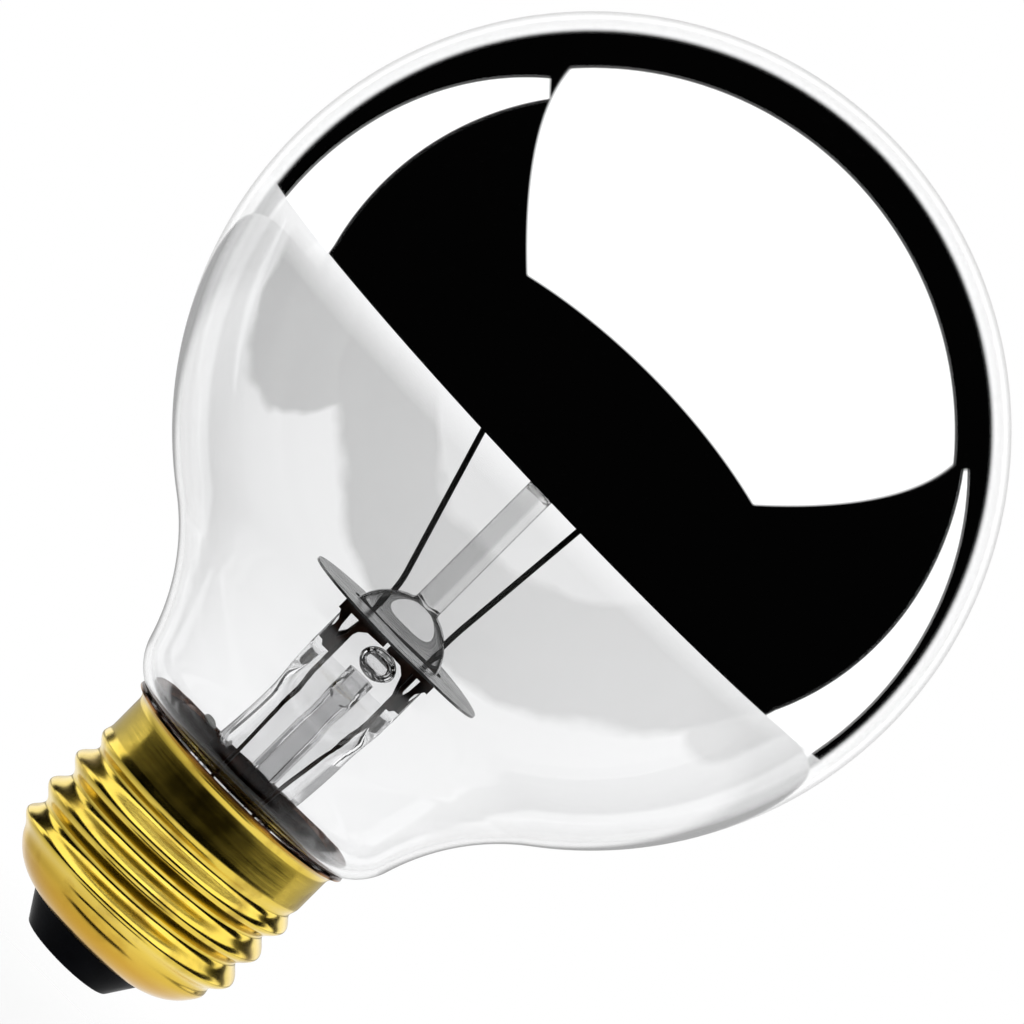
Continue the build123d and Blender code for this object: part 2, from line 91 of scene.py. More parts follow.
# %% Profile arcs
def arc(middle, radius, start, end, count):
    """Points of a circle arc: middle plus radius times (cos, sin) of an angle that runs evenly from start
    to end."""
    angle = np.radians(np.linspace(start, end, count))
    return np.column_stack([middle[0] + radius * np.cos(angle), middle[1] + radius * np.sin(angle)])


def bearing(start, end):
    """Angle in degrees of the line from one profile point to another."""
    return math.degrees(math.atan2(end[1] - start[1], end[0] - start[0]))


def ring_angles(count):
    """Angles round one ring, without the repeated last one."""
    return np.linspace(0, 2 * np.pi, count, endpoint=False)


def turned(profile, count):
    """Spun rings: each (r, z) of the profile becomes (r cos t, r sin t, z) for every ring angle t."""
    t = ring_angles(count)
    radius, height = profile[:, 0, None], profile[:, 1, None]
    return np.stack([radius * np.cos(t), radius * np.sin(t), height + 0 * t], axis=-1)


# %% Skins
def band_faces(rings, around, looped):
    """Quads between neighbouring rings: point j of ring i with j+1, and the same two points of ring i+1."""
    last = rings if looped else rings - 1
    i, j = np.meshgrid(np.arange(last), np.arange(around), indexing="ij")
    i2, j2 = (i + 1) % rings, (j + 1) % around
    quads = np.stack([i * around + j, i * around + j2, i2 * around + j2, i2 * around + j], axis=-1)
    return quads.reshape(-1, 4)


def signed_volume(points, triangles):
    """Sum of the small pyramids from the origin to each triangle: above zero where faces point outwards."""
    a, b, c = (points[triangles[:, k]] for k in range(3))
    return float(np.einsum("ij,ij->i", a, np.cross(b, c)).sum() / 6)


def skin(rings, looped=False):
    """Closed mesh from a stack of rings: quads between rings, and fans to the middle of both end rings
    unless the stack is looped. Faces are turned round together if the volume comes out negative."""
    count, around, _ = rings.shape
    points = rings.reshape(-1, 3)
    quads = band_faces(count, around, looped)
    fans = np.zeros((0, 3), int)
    if not looped:
        points = np.vstack([points, rings[0].mean(0), rings[-1].mean(0)])
        j = np.arange(around)
        j2 = (j + 1) % around
        first = np.column_stack([np.full(around, count * around), j2, j])
        top = (count - 1) * around
        final = np.column_stack([np.full(around, count * around + 1), top + j, top + j2])
        fans = np.vstack([first, final])
    triangles = np.vstack([quads[:, :3], quads[:, [0, 2, 3]], fans])
    if signed_volume(points, triangles) < 0:
        quads, fans = quads[:, ::-1], fans[:, ::-1]
    return points, quads, fans


def joined(*parts):
    """Several skins as one mesh, each with its point numbers moved on."""
    points, quads, fans, start = [], [], [], 0
    for part_points, part_quads, part_fans in parts:
        points.append(part_points)
        quads.append(part_quads + start)
        fans.append(part_fans + start)
        start += len(part_points)
    return np.vstack(points), np.vstack(quads), np.vstack(fans)


def inside_out(part):
    """The same skin with its faces turned round, for a hollow inside a solid."""
    points, quads, fans = part
    return points, quads[:, ::-1], fans[:, ::-1]


# %% Pieces
def piece(name, part, nodes, crease=50.0):
    """Mesh object in metres from a skin in millimetres. It rides on the lamp's one body, stands for the
    named CAD nodes, and has smooth faces with sharp edges where they meet at more than the crease angle."""
    points, quads, fans = part
    mesh = bpy.data.meshes.new(name)
    mesh.from_pydata((points * MM).tolist(), [], quads.tolist() + fans.tolist())
    mesh.polygons.foreach_set("use_smooth", np.ones(len(mesh.polygons), bool))
    mesh.set_sharp_from_angle(angle=math.radians(crease))
    mesh.update()
    made = bpy.data.objects.new(name, mesh)
    bpy.context.scene.collection.objects.link(made)
    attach(made, "root")
    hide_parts(*nodes)
    print(f"{name}: {len(points)} points, {2 * len(quads) + len(fans)} triangles for {', '.join(nodes)}")
    return made


# %% [markdown]
# ## The camera
# The photograph shows the lamp lying over at 45 degrees on plain white. Here the lamp stands upright in its
# own frame, so the camera is rolled instead. Its height comes from how round the rim of the cap and the
# mirror's edge look, and its distance sets the long lens that keeps the globe nearly a true circle.

# %% Camera from the photograph's frame
frame_side = 1024
focal_px = 6330.0
camera_distance = 600.0
camera_drop = math.radians(3.45)
camera_roll = math.radians(45.0)
globe_at_px = (591.5, 431.3)

forward = Vector((0, math.cos(camera_drop), -math.sin(camera_drop)))
level_up = Vector((0, math.sin(camera_drop), math.cos(camera_drop)))
level_right = Vector((1, 0, 0))
picture_right = level_right * math.cos(camera_roll) + level_up * math.sin(camera_roll)
picture_up = level_up * math.cos(camera_roll) - level_right * math.sin(camera_roll)
aside = (frame_side / 2 - globe_at_px[0]) / focal_px
below = (frame_side / 2 - globe_at_px[1]) / focal_px
aim = (forward + picture_right * aside - picture_up * below).normalized()
picture_right = (picture_right - aim * picture_right.dot(aim)).normalized()
picture_up = picture_right.cross(aim)

camera_data = bpy.data.cameras.new("camera")
camera_data.sensor_width = 36.0
camera_data.lens = camera_data.sensor_width * focal_px / frame_side
camera = bpy.data.objects.new("camera", camera_data)
bpy.context.scene.collection.objects.link(camera)
axes = Matrix((picture_right, picture_up, -aim)).transposed().to_4x4()
camera_place = (Vector((0, 0, globe_middle)) - forward * camera_distance) * MM
camera.matrix_world = Matrix.Translation(camera_place) @ axes
camera_data.clip_start, camera_data.clip_end = 0.01, 20.0
bpy.context.scene.camera = camera
bpy.context.scene.view_settings.view_transform = "Standard"
print("lens", round(camera_data.lens, 1), "mm at", [round(v, 4) for v in camera_place])

# %% [markdown]
# ## A small kit for node materials
# Each finish below is a Principled shader with a few texture nodes. The helpers only save typing: one adds a
# node and fills its sockets, one links, and one makes a colour ramp. Patterns read Object coordinates, which
# are metres on the lamp, so a scale of 1000 means one cell per millimetre.

# %% Node trees
class Nodes:
    """A node tree, with short ways to add nodes and to link them."""

    def __init__(self, tree):
        self.tree = tree

    def feed(self, socket, value):
        """Sets a socket's own value, or links it where the value is another node's output."""
        if isinstance(value, bpy.types.NodeSocket):
            self.tree.links.new(value, socket)
        else:
            socket.default_value = value

    def fill(self, node, **sockets):
        """Feeds the input sockets that the keywords name, with _ for a space."""
        for name, value in sockets.items():
            self.feed(node.inputs[name.replace("_", " ")], value)
        return node

    def add(self, kind, **sockets):
        """New node with its sockets filled."""
        return self.fill(self.tree.nodes.new(kind), **sockets)

    def math(self, operation, *values, clamp=False):
        """One arithmetic step on one, two or three values."""
        node = self.add("ShaderNodeMath")
        node.operation, node.use_clamp = operation, clamp
        for socket, value in zip(node.inputs, values):
            self.feed(socket, value)
        return node.outputs[0]

    def product(self, first, *others):
        """All the values multiplied together."""
        for value in others:
            first = self.math("MULTIPLY", first, value)
        return first


# %% Finishes as materials
noise_span = (0.3, 0.7)  # where most values of a noise lie


class Finish(Nodes):
    """A material with its node tree, its Principled shader and its object coordinates at hand."""

    def __init__(self, name):
        self.material = bpy.data.materials.new(name)
        self.material.use_nodes = True
        super().__init__(self.material.node_tree)
        self.shader = self.tree.nodes["Principled BSDF"]
        self.output = self.tree.nodes["Material Output"]
        self.place = self.add("ShaderNodeTexCoord").outputs["Object"]

    def set(self, **sockets):
        """Fills the Principled shader's sockets."""
        self.fill(self.shader, **sockets)

    def parts(self):
        """Object X, Y and Z in metres."""
        return self.add("ShaderNodeSeparateXYZ", Vector=self.place).outputs

    def noise(self, scale, detail, stretch=(1, 1, 1)):
        """Noise value on object coordinates, with the coordinates stretched first."""
        place = self.add("ShaderNodeMapping", Vector=self.place, Scale=stretch)
        node = self.add("ShaderNodeTexNoise", Vector=place.outputs[0], Scale=scale, Detail=detail)
        return node.outputs["Fac"]

    def ramp(self, value, *stops):
        """Colour ramp of (position, colour) stops."""
        node = self.add("ShaderNodeValToRGB", Fac=value)
        elements = node.color_ramp.elements
        while len(elements) < len(stops):
            elements.new(0.5)
        for element, (position, colour) in zip(elements, stops):
            element.position = position
            element.color = (*colour, 1)
        return node.outputs["Color"]

    def mix(self, share, first, second):
        """Colour mix of first and second by a share from 0 to 1."""
        node = self.tree.nodes.new("ShaderNodeMix")
        node.data_type = "RGBA"
        self.fill(node, Factor=share)
        for socket, value in ((node.inputs[6], first), (node.inputs[7], second)):
            self.feed(socket, (*value, 1) if isinstance(value, tuple) else value)
        return node.outputs[2]

    def span(self, first, second):
        """Root of the sum of two squares."""
        square = self.math("MULTIPLY", second, second)
        return self.math("SQRT", self.math("MULTIPLY_ADD", first, first, square))

    def between(self, value, low, high, new_low=0.0, new_high=1.0):
        """Value moved from the range low to high onto a new range, and held inside it."""
        node = self.add("ShaderNodeMapRange", Value=value, From_Min=low, From_Max=high, To_Min=new_low,
                        To_Max=new_high)
        return node.outputs[0]

    def bump(self, value, distance, strength):
        """Small relief on the shader's normal; distance is its full depth in metres."""
        node = self.add("ShaderNodeBump", Height=value, Distance=distance, Strength=strength)
        self.set(Normal=node.outputs[0])

    def blend(self, share, first, second):
        """Mix of two shader nodes by a share from 0 to 1."""
        node = self.add("ShaderNodeMixShader", Fac=share)
        for socket, shader in zip(node.inputs[1:], (first, second)):
            self.feed(socket, shader.outputs[0])
        return node

    def show(self, shader):
        """Puts a shader node on the surface."""
        self.fill(self.output, Surface=shader.outputs[0])

    def lamps_through(self, tint):
        """Lets lamp rays pass: a Transparent shader takes the shader's place for shadow rays."""
        shadow = self.add("ShaderNodeLightPath").outputs["Is Shadow Ray"]
        open_air = self.add("ShaderNodeBsdfTransparent", Color=(*tint, 1))
        self.show(self.blend(shadow, self.shader, open_air))


def give(finish, *things):
    """Puts a finish on pieces and CAD nodes, in their first material slot."""
    for thing in things:
        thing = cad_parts[thing] if isinstance(thing, str) else thing
        thing.data.materials.clear()
        thing.data.materials.append(finish.material)
    print(finish.material.name, "on", len(things), "pieces")


# %% [markdown]
# ## The bulb glass
# A bulb is blown in one piece: a globe, a hollow sweep, a small bulging shoulder and a straight neck that
# goes down into the cap. Seen through, it is two thin walls, and how light bends at both is what makes it
# look like glass. So the profile comes down the inside and goes up the outside, as the same arcs set apart by
# the wall.

# %% Bulb profile
crown_stop = 89.3  # degrees up the globe, where a skin closes to one point
bulb_around = 224


def bulb_wall(inset):
    """Neck line, neck hollow, shoulder, sweep and globe as arcs that touch each other, set into the glass by
    inset. It ends just short of the crown."""
    globe = (0.0, globe_middle)
    neck_radius = neck_hollow_middle[0] - neck_hollow - inset
    neck_line = np.linspace((neck_radius, neck_end), (neck_radius, neck_hollow_middle[1]), 12)
    to_shoulder = bearing(neck_hollow_middle, shoulder_middle)
    hollow = arc(neck_hollow_middle, neck_hollow + inset, 180, to_shoulder, 14)
    to_sweep = bearing(shoulder_middle, sweep_middle)
    shoulder = arc(shoulder_middle, shoulder_round - inset, to_shoulder - 180, to_sweep, 16)
    from_shoulder = bearing(sweep_middle, shoulder_middle) % 360
    to_globe = bearing(sweep_middle, globe) % 360
    sweep = arc(sweep_middle, sweep_radius + inset, from_shoulder, to_globe, 26)
    crown = arc(globe, globe_radius - inset, bearing(globe, sweep_middle), crown_stop, 96)
    return np.vstack([neck_line[:-1], hollow[:-1], shoulder[:-1], sweep[:-1], crown])


outer_wall, inner_wall = bulb_wall(0.0), bulb_wall(glass_wall)
bulb_rings = turned(np.vstack([inner_wall[::-1], outer_wall]), bulb_around)
bulb = piece("bulb_glass", skin(bulb_rings), ["glass_envelope"])
print("steps of the outer profile in mm:", np.abs(np.diff(outer_wall, axis=0)).max(0).round(2))

# %% [markdown]
# ## The mirror film
# The crown is silvered on the inside, down to an edge a little under the globe's middle. The edge isn't quite
# level, so the film is turned about its own axis, and then tipped with it about the middle of the globe. It
# is a little under a tenth of a millimetre here and lies a hair inside the glass, so that two faces never
# share one place.

# %% Mirror film
film_gap = 0.02
film = 0.08
film_around = 192


def film_arc(radius):
    """Arc of one face of the film about the globe's middle, from its edge up to the crown."""
    edge = -math.degrees(math.asin(mirror_drop / radius))
    return arc((0.0, 0.0), radius, edge, crown_stop, 72)


def tipped(rings, angle, middle):
    """Rings turned about the Y axis by an angle, and then lifted to a middle height."""
    x, y, z = np.moveaxis(rings, -1, 0)
    turned_x = x * math.cos(angle) + z * math.sin(angle)
    return np.stack([turned_x, y, middle + z * math.cos(angle) - x * math.sin(angle)], axis=-1)


film_back = film_arc(globe_radius - glass_wall - film_gap)
film_face = film_arc(globe_radius - glass_wall - film_gap - film)
level_film = turned(np.vstack([film_face[::-1], film_back]), film_around)
mirror = piece("mirror_film", skin(tipped(level_film, mirror_tilt, globe_middle)),
               ["mirror_coating"])

# %% [markdown]
# ## The screw shell
# The cap is one sheet of brass: its end is rounded in to hold the insulator, the thread is rolled into its
# side, and its top flares out to a lip. A rolled thread is easy to describe level by level. Every cut across
# it is a circle whose middle swings round the axis once per pitch, and the swing fades out at both ends of
# the thread.

# %% Shell levels
shell_around = 176
outside_per_turn, inside_per_turn = 56, 24


def smooth(value):
    """Smooth step from 0 to 1: three times the square less twice the cube."""
    value = np.clip(value, 0, 1)
    return value * value * (3 - 2 * value)


def shell_levels(inset, per_turn):
    """Radii and heights of the shell's level circles, set into the sheet by inset: the end round, the
    thread, the skirt and the lip."""
    round_radius = end_round - inset
    first = -math.degrees(math.acos((mouth[0] - end_round_middle[0]) / round_radius))
    last = -math.degrees(math.asin((end_round_middle[1] - thread_start) / round_radius))
    end = arc(end_round_middle, round_radius, first, last, 14)
    level_count = int((thread_end - thread_start) / thread_pitch * per_turn)
    height = np.linspace(thread_start, thread_end, level_count)
    under = np.maximum(end_round_middle[1] - height, 0)
    thread = np.column_stack([end_round_middle[0] + np.sqrt(round_radius**2 - under**2), height])
    skirt_radius = thread_middle_radius - inset
    skirt = np.linspace((skirt_radius, thread_end), (skirt_radius, skirt_top), 6)
    lip = arc((lip_middle, skirt_top), lip_round + inset, 180, 180 - lip_turn, 14)
    return np.vstack([end[:-1], thread[:-1], skirt[:-1], lip])


def swung(profile):
    """Rings of the shell: a circle of each level's radius, with its middle moved by half the thread's depth,
    times a smooth fade, in a direction that turns once per pitch."""
    height = profile[:, 1]
    reach = np.minimum(height - thread_start, thread_end - height) / thread_runout
    swing = thread_depth / 2 * smooth(reach)
    turn = 2 * np.pi * (height - thread_crest) / thread_pitch
    rings = turned(profile, shell_around)
    rings[..., 0] += (swing * np.cos(turn))[:, None]
    rings[..., 1] += (swing * np.sin(turn))[:, None]
    return rings


outside, inside = shell_levels(0.0, outside_per_turn), shell_levels(sheet, inside_per_turn)
shell_rings = np.vstack([swung(inside)[::-1], swung(outside)])
shell = piece("brass_shell", skin(shell_rings, looped=True), ["screw_shell"])

# %% [markdown]
# ## Insulator, contact and cement
# The black glass is cast into the rounded end, a brass eyelet is set in it, and a drop of solder closes the
# eyelet round the wire. Brown cement fills the ring between the neck of the glass and the skirt. All four are
# turned, and the cement gets an uneven top, because it creeps while it bakes.

# %% Insulator
insulator_end, insulator_top = 0.75, 6.25
insulator_hole = 1.62
edge_round = 0.35
cone_low, cone_high = (5.25, 0.983), (6.98, 3.664)
cone_corner, corner_round = (6.93, 3.83), 0.14
seat_room = 0.01
seat_round = end_round - sheet - seat_room
seat_first = -math.degrees(math.acos((mouth[0] - end_round_middle[0]) / seat_round))
seat_last = -math.degrees(math.asin((end_round_middle[1] - insulator_top) / seat_round))
insulator_profile = np.vstack([
    [[insulator_hole, height] for height in (insulator_top - 0.02, 2.6, insulator_end + 0.02)],
    np.linspace((1.8, insulator_end), (4.7, insulator_end), 8),
    arc((4.909, insulator_end + edge_round), edge_round, -90, -32.8, 8),
    np.linspace(cone_low, cone_high, 10),
    arc(cone_corner, corner_round, -33, 20, 5),
    arc(end_round_middle, seat_round, seat_first + 1.2, seat_last, 10),
    [[5.0, insulator_top], [2.2, insulator_top]],
])
insulator_skin = skin(turned(insulator_profile, 144), looped=True)
insulator = piece("insulator_glass", insulator_skin, ["insulator"])

# %% Contact
solder_radius, solder_height = 2.2, 0.45
eyelet_hole, eyelet_neck, eyelet_top = 1.11, 1.6, 2.73
eyelet_profile = np.vstack([
    [[eyelet_hole, eyelet_top], [eyelet_hole, 0.5], [1.8, 0.462]],
    arc((2.88, 0.57), 0.12, -90, 0, 6),
    [[3.0, 0.735], [eyelet_neck, 0.74], [eyelet_neck, eyelet_top]],
])
eyelet = piece("eyelet", skin(turned(eyelet_profile, 96), looped=True), ["contact_eyelet"])
dome_radius = (solder_radius**2 + solder_height**2) / (2 * solder_height)
dome_end = -90 + math.degrees(math.asin(solder_radius / dome_radius))
dome = arc((0, dome_radius), dome_radius, -89.2, dome_end, 16)
plug_radius = 1.09
tip_profile = np.vstack([dome, [[plug_radius, 0.46], [plug_radius, 1.64], [0.3, 1.65]]])
tip = piece("contact_tip", skin(turned(tip_profile, 64)), ["contact_solder"])

# %% Cement
cement_low, cement_high = 20.25, 24.149
cement_inside, cement_outside = 10.93, 12.21
cement_around = 160
hollow_top = math.degrees(math.asin((cement_high - neck_hollow_middle[1]) / neck_hollow))
cement_inner = arc(neck_hollow_middle, neck_hollow - 0.02, 180, 180 - hollow_top, 12)
cement_profile = np.vstack([
    [[cement_inside, cement_low]], cement_inner, [[12.14, cement_high]],
    [[cement_outside, cement_high - 0.06], [cement_outside, cement_low]],
])
cement_rings = turned(cement_profile, cement_around)
t = ring_angles(cement_around)
swell = 0.10 * np.sin(3 * t + 0.6) + 0.07 * np.sin(11 * t + 1.9)
top_rings = slice(len(cement_inner) + 1, len(cement_inner) + 3)
cement_rings[top_rings, :, 2] -= np.abs(swell)
cement = piece("cement_ring", skin(cement_rings, looped=True), ["basing_cement"])

# %% [markdown]
# ## The stem
# The stem starts as a glass tube with a trumpet at its lower end. Its top is heated and pinched flat over the
# wires, and a rod with a button is set on the pinch while it is soft. As one glass it is one skin: rings that
# go down inside the tube, round the trumpet's rim, up outside, and change from a circle to a flat rounded bar
# and back to a rod.

# %% Stem sizes and rings
mount_shift = 0.7
stem_radius, stem_wall = 5.1, 0.8
trumpet_middle = (10.2, 20.449)
pinch_start, press_start, press_shoulder = 33.349, 39.349, 43.549
press_half, press_deep = 5.5, 1.75
rod_radius, rod_top, button_radius = 1.45, 66.349, 2.3
round_section, bar_section = 2.0, 3.6


def barred(rows, count):
    """Rings of a changing bar. Each row is (middle x, half width, half depth, height, squareness); a ring
    point is the sign of cos or sin times its size to the power 2/squareness, so 2 is an ellipse and more is
    a rounded bar."""
    t = ring_angles(count)
    middle, wide, deep, height, square = (rows[:, k, None] for k in range(5))
    c, s = np.cos(t), np.sin(t)
    x = middle + wide * np.sign(c) * np.abs(c) ** (2 / square)
    y = deep * np.sign(s) * np.abs(s) ** (2 / square)
    return np.stack([x, y, height + 0 * t], axis=-1)


def drift(height):
    """Middle of the stem: on the axis at the trumpet, and moved to the side by the start of the pinch."""
    return mount_shift * smooth((height - trumpet_middle[1]) / (pinch_start - trumpet_middle[1]))


def levels(height, wide, deep, square=round_section, middle=None):
    """Rows for barred, from arrays or single numbers."""
    height = np.asarray(height, float)
    middle = drift(height) if middle is None else middle
    return np.column_stack([np.broadcast_to(v, height.shape) for v in (middle, wide, deep, height, square)])


# %% Stem bore, trumpet and tube
bore_end = 39.2
tube_bore = stem_radius - stem_wall
slit_half_width, slit_half_gap = 3.8, 0.08
bore_height = bore_end - (bore_end - trumpet_middle[1]) * np.linspace(0, 1, 26)
flat = smooth((bore_height - pinch_start) / (bore_end - pinch_start))
bore = levels(bore_height, tube_bore + (slit_half_width - tube_bore) * flat**3,
              tube_bore + (slit_half_gap - tube_bore) * flat)
low_face = arc(trumpet_middle, trumpet_middle[0] - tube_bore, 180, 270, 20)[1:]
high_face = arc(trumpet_middle, stem_radius, 270, 180, 20)
trumpet_rim = 10.86
trumpet = np.vstack([low_face, [[trumpet_rim, 14.55], [trumpet_rim, 15.32]], high_face - [[0, 0.02]]])
trumpet = levels(trumpet[:, 1], trumpet[:, 0], trumpet[:, 0], middle=0.0)
tube = levels(np.linspace(trumpet_middle[1], pinch_start, 14)[1:], stem_radius, stem_radius)

# %% Pinch, press and dome
pinch_height = np.linspace(pinch_start, press_start, 16)[1:]
pinched = smooth((pinch_height - pinch_start) / (press_start - pinch_start))
pinch = levels(pinch_height, stem_radius + (press_half - stem_radius) * pinched,
               stem_radius + (press_deep - stem_radius) * pinched,
               round_section + (bar_section - round_section) * pinched)
press = levels(np.linspace(press_start, press_shoulder, 8)[1:], press_half, press_deep, bar_section)
dome_stop, dome_fade = 71, 75
dome_thins, dome_rounds = 0.15, 0.4
dome_angle = np.radians(np.linspace(0, dome_stop, 20))[1:]
dome_share = smooth(np.degrees(dome_angle) / dome_fade)
press_dome = levels(press_shoulder + press_half * np.sin(dome_angle), press_half * np.cos(dome_angle),
                    press_deep - dome_thins * dome_share, bar_section - dome_rounds * dome_share)

# %% Rod and its foot
foot_rise, foot_run = 0.13, 0.35
_, dome_wide, dome_deep, dome_top, dome_square = press_dome[-1]
foot_start = np.array([dome_wide, dome_top])
foot_corner = np.array([rod_radius, dome_top + foot_rise])
foot_end = foot_corner + [0, foot_run]
way = np.linspace(0, 1, 9)[1:, None]
foot = (1 - way) ** 2 * foot_start + 2 * way * (1 - way) * foot_corner + way**2 * foot_end
way = way[:, 0]
foot = levels(foot[:, 1], foot[:, 0], dome_deep + (rod_radius - dome_deep) * smooth(way),
              dome_square + (round_section - dome_square) * way)
neck_angle = -math.degrees(math.acos(rod_radius / button_radius))
button = arc((0, rod_top), button_radius, neck_angle, 88, 22)
rod_height = np.linspace(foot[-1, 3], button[0, 1], 14)[1:-1]
rod_wide = np.r_[np.full(len(rod_height), rod_radius), button[:, 0]]
rod = levels(np.r_[rod_height, button[:, 1]], rod_wide, rod_wide)
stem_rings = barred(np.vstack([bore, trumpet, tube, pinch, press, press_dome, foot, rod]), 112)
print("stem of", len(stem_rings), "rings")

# %% Blow hole bubble
blow_middle, blow_half = (1.3, -0.1, 41.75), (2.0, 1.5, 1.55)
lean = np.radians(np.linspace(-86, 86, 24))[:, None]
round_t = ring_angles(48)
bubble = np.stack([blow_middle[0] + blow_half[0] * np.cos(lean) * np.cos(round_t),
                   blow_middle[1] + blow_half[1] * np.cos(lean) * np.sin(round_t),
                   blow_middle[2] + blow_half[2] * np.sin(lean) + 0 * round_t], axis=-1)
stem = piece("stem_glass", joined(skin(stem_rings), inside_out(skin(bubble))),
             ["stem_flare", "support_rod"], crease=60)

# %% Exhaust tube
exhaust_x, exhaust_radius, exhaust_bore = 1.0, 1.5, 0.85
exhaust_top, exhaust_waist, exhaust_tip = 39.9, 24.0, 10.95
outer_tip = arc((0, exhaust_tip), exhaust_radius, -88, 0, 12)
inner_tip = arc((0, exhaust_tip), exhaust_bore, 0, -88, 12)
exhaust_profile = np.vstack([outer_tip, [[exhaust_radius, exhaust_waist], [exhaust_radius, exhaust_top]],
                             [[exhaust_bore, exhaust_top], [exhaust_bore, exhaust_waist]], inner_tip])
exhaust_rings = turned(exhaust_profile, 72)
exhaust_rings[..., 0] += exhaust_x
exhaust = piece("exhaust_tube_glass", skin(exhaust_rings), ["exhaust_tube"])

# %% [markdown]
# ## Wires
# A drawn wire is a circle carried along a path. Each ring lies square to the path: one of its axes is square
# to a chosen direction too, and the other is square to both. Bends are small arcs of a quadratic curve, so a
# wire is one smooth tube from end to end.

# %% Paths and tubes
def bent(points, room, share=0.45, steps=7):
    """Path through corners, each rounded by a quadratic curve that starts and ends at most room, and at most
    a share of the straight run, before and after it."""
    points = [np.array(p, float) for p in points]
    parts = [points[0][None]]
    t = np.linspace(0, 1, steps)[:, None]
    for before, corner, after in zip(points, points[1:], points[2:]):
        run_in, run_out = corner - before, after - corner
        long_in, long_out = np.linalg.norm(run_in), np.linalg.norm(run_out)
        start = corner - run_in / long_in * min(room, share * long_in)
        end = corner + run_out / long_out * min(room, share * long_out)
        parts.append((1 - t) ** 2 * start + 2 * t * (1 - t) * corner + t**2 * end)
    parts.append(points[-1][None])
    return np.vstack(parts)


def tube_rings(path, radius, count, across=(0, 1, 0)):
    """Circle carried along a path: at each point, radius times (cos t, sin t) on two axes square to the
    path."""
    run = np.gradient(path, axis=0)
    run /= np.linalg.norm(run, axis=1, keepdims=True)
    side = np.cross(run, np.array(across, float))
    side /= np.linalg.norm(side, axis=1, keepdims=True)
    other = np.cross(side, run)
    t = ring_angles(count)[None, :, None]
    return path[:, None] + radius * (np.cos(t) * side[:, None] + np.sin(t) * other[:, None])


# %% Inner leads with their hooks
seal_top, press_top, filament_height = 45.849, 49.049, 69.849
lead_foot = {"left": -2.6, "right": 4.5}
lead_head = {"left": -8.9, "right": 6.3}
lead_radius, lead_bend, bend_drop = 0.3, 1.4, 0.3
hook_radius, hook_turn, hook_shift, hook_run_in = 0.65, 330, 0.5, 0.5
leads = []
for side in lead_foot:
    head = np.array([lead_head[side], 0, filament_height])
    bend = np.array([lead_foot[side], 0, press_top - bend_drop])
    run = (head - bend) / np.linalg.norm(head - bend)
    turn = math.atan2(-run[2], -run[0]) + np.radians(np.linspace(0, hook_turn, 40))
    hook = head + hook_radius * np.column_stack([np.cos(turn), 0 * turn, np.sin(turn)])
    hook[:, 1] += np.linspace(0, hook_shift, 40)
    stalk = bent([(lead_foot[side], 0, seal_top), bend, head - run * (hook_radius + hook_run_in)], lead_bend)
    lead_skin = skin(tube_rings(np.vstack([stalk, hook]), lead_radius, 14))
    leads.append(piece("inner_wire_" + side, lead_skin, ["inner_lead_" + side]))

# %% Outer leads
outer_radius, outer_top, outer_waist = 0.22, 36.65, 26.85
side_angle = math.radians(120)
side_level = 13.65  # where the side lead crosses under the trumpet
centre_path = bent([(lead_foot["right"], 0, outer_top), (3.1, 0, outer_waist), (2.9, 0, 9.85), (0, 0, 7.25),
                    (0, 0, 0.42)], 1.4)
out = np.array([math.cos(side_angle), math.sin(side_angle)])
side_path = bent([(lead_foot["left"], 0, outer_top), (-2.3, 0, outer_waist), (*(5.1 * out), side_level),
                  (*(11.25 * out), side_level), (*(11.25 * out), 21.35), (*(12.2 * out), 23.95)], 1.0)
side_across = (out[1], -out[0], 0.02)
centre_skin = skin(tube_rings(centre_path, outer_radius, 12))
side_skin = skin(tube_rings(side_path, outer_radius, 12, across=side_across))
centre_wire = piece("centre_wire", centre_skin, ["outer_lead_centre"])
side_wire = piece("side_wire", side_skin, ["outer_lead_side"])

# %% [markdown]
# ## Filament
# The light comes from tungsten wire, about as thin as a hair, wound into a coil that hangs in a bow from lead
# to lead. The coil is a circle carried along a helix, and the helix itself goes round the bow.

# %% Coiled filament
bow_middle, bow_radius = np.array([-1.3, 0.0, filament_height]), 7.6
bow_start, bow_sweep = -6, 192
coil_radius, coil_wire, coil_turns, steps_per_turn = 0.25, 0.045, 150, 14
along = np.linspace(0, 1, coil_turns * steps_per_turn)
bow_angle = np.radians(bow_start + bow_sweep * along)
outward = np.column_stack([np.cos(bow_angle), np.sin(bow_angle), 0 * along])
wind = 2 * np.pi * coil_turns * along
coil_path = bow_middle + outward * (bow_radius + coil_radius * np.cos(wind))[:, None]
coil_path[:, 2] += coil_radius * np.sin(wind)
coil_skin = skin(tube_rings(coil_path, coil_wire, 6, across=(0.013, 0.017, 1.0)))
filament = piece("filament_coil", coil_skin, ["filament"], crease=80)

# %% [markdown]
# ## Heat disc
# A thin metal disc sits round the press and keeps hot gas away from the cap. It is stamped from sheet and
# slotted over the press. On a grid of angle and share, a point goes from the slot's rounded outline out to
# the rim.

# %% Heat disc
disc_radius, disc_low, disc_sheet = 10.6, 44.824, 0.25
slot_half_width, slot_half_depth, slot_power = 5.7, 1.95, 0.5
t = ring_angles(160)
c, s = np.cos(t), np.sin(t)
slot_x = mount_shift + slot_half_width * np.sign(c) * np.abs(c) ** slot_power
slot_y = slot_half_depth * np.sign(s) * np.abs(s) ** slot_power
rim_x, rim_y = mount_shift + disc_radius * c, disc_radius * s
share = np.linspace(0, 1, 14)[:, None]
grid_x, grid_y = slot_x + (rim_x - slot_x) * share, slot_y + (rim_y - slot_y) * share


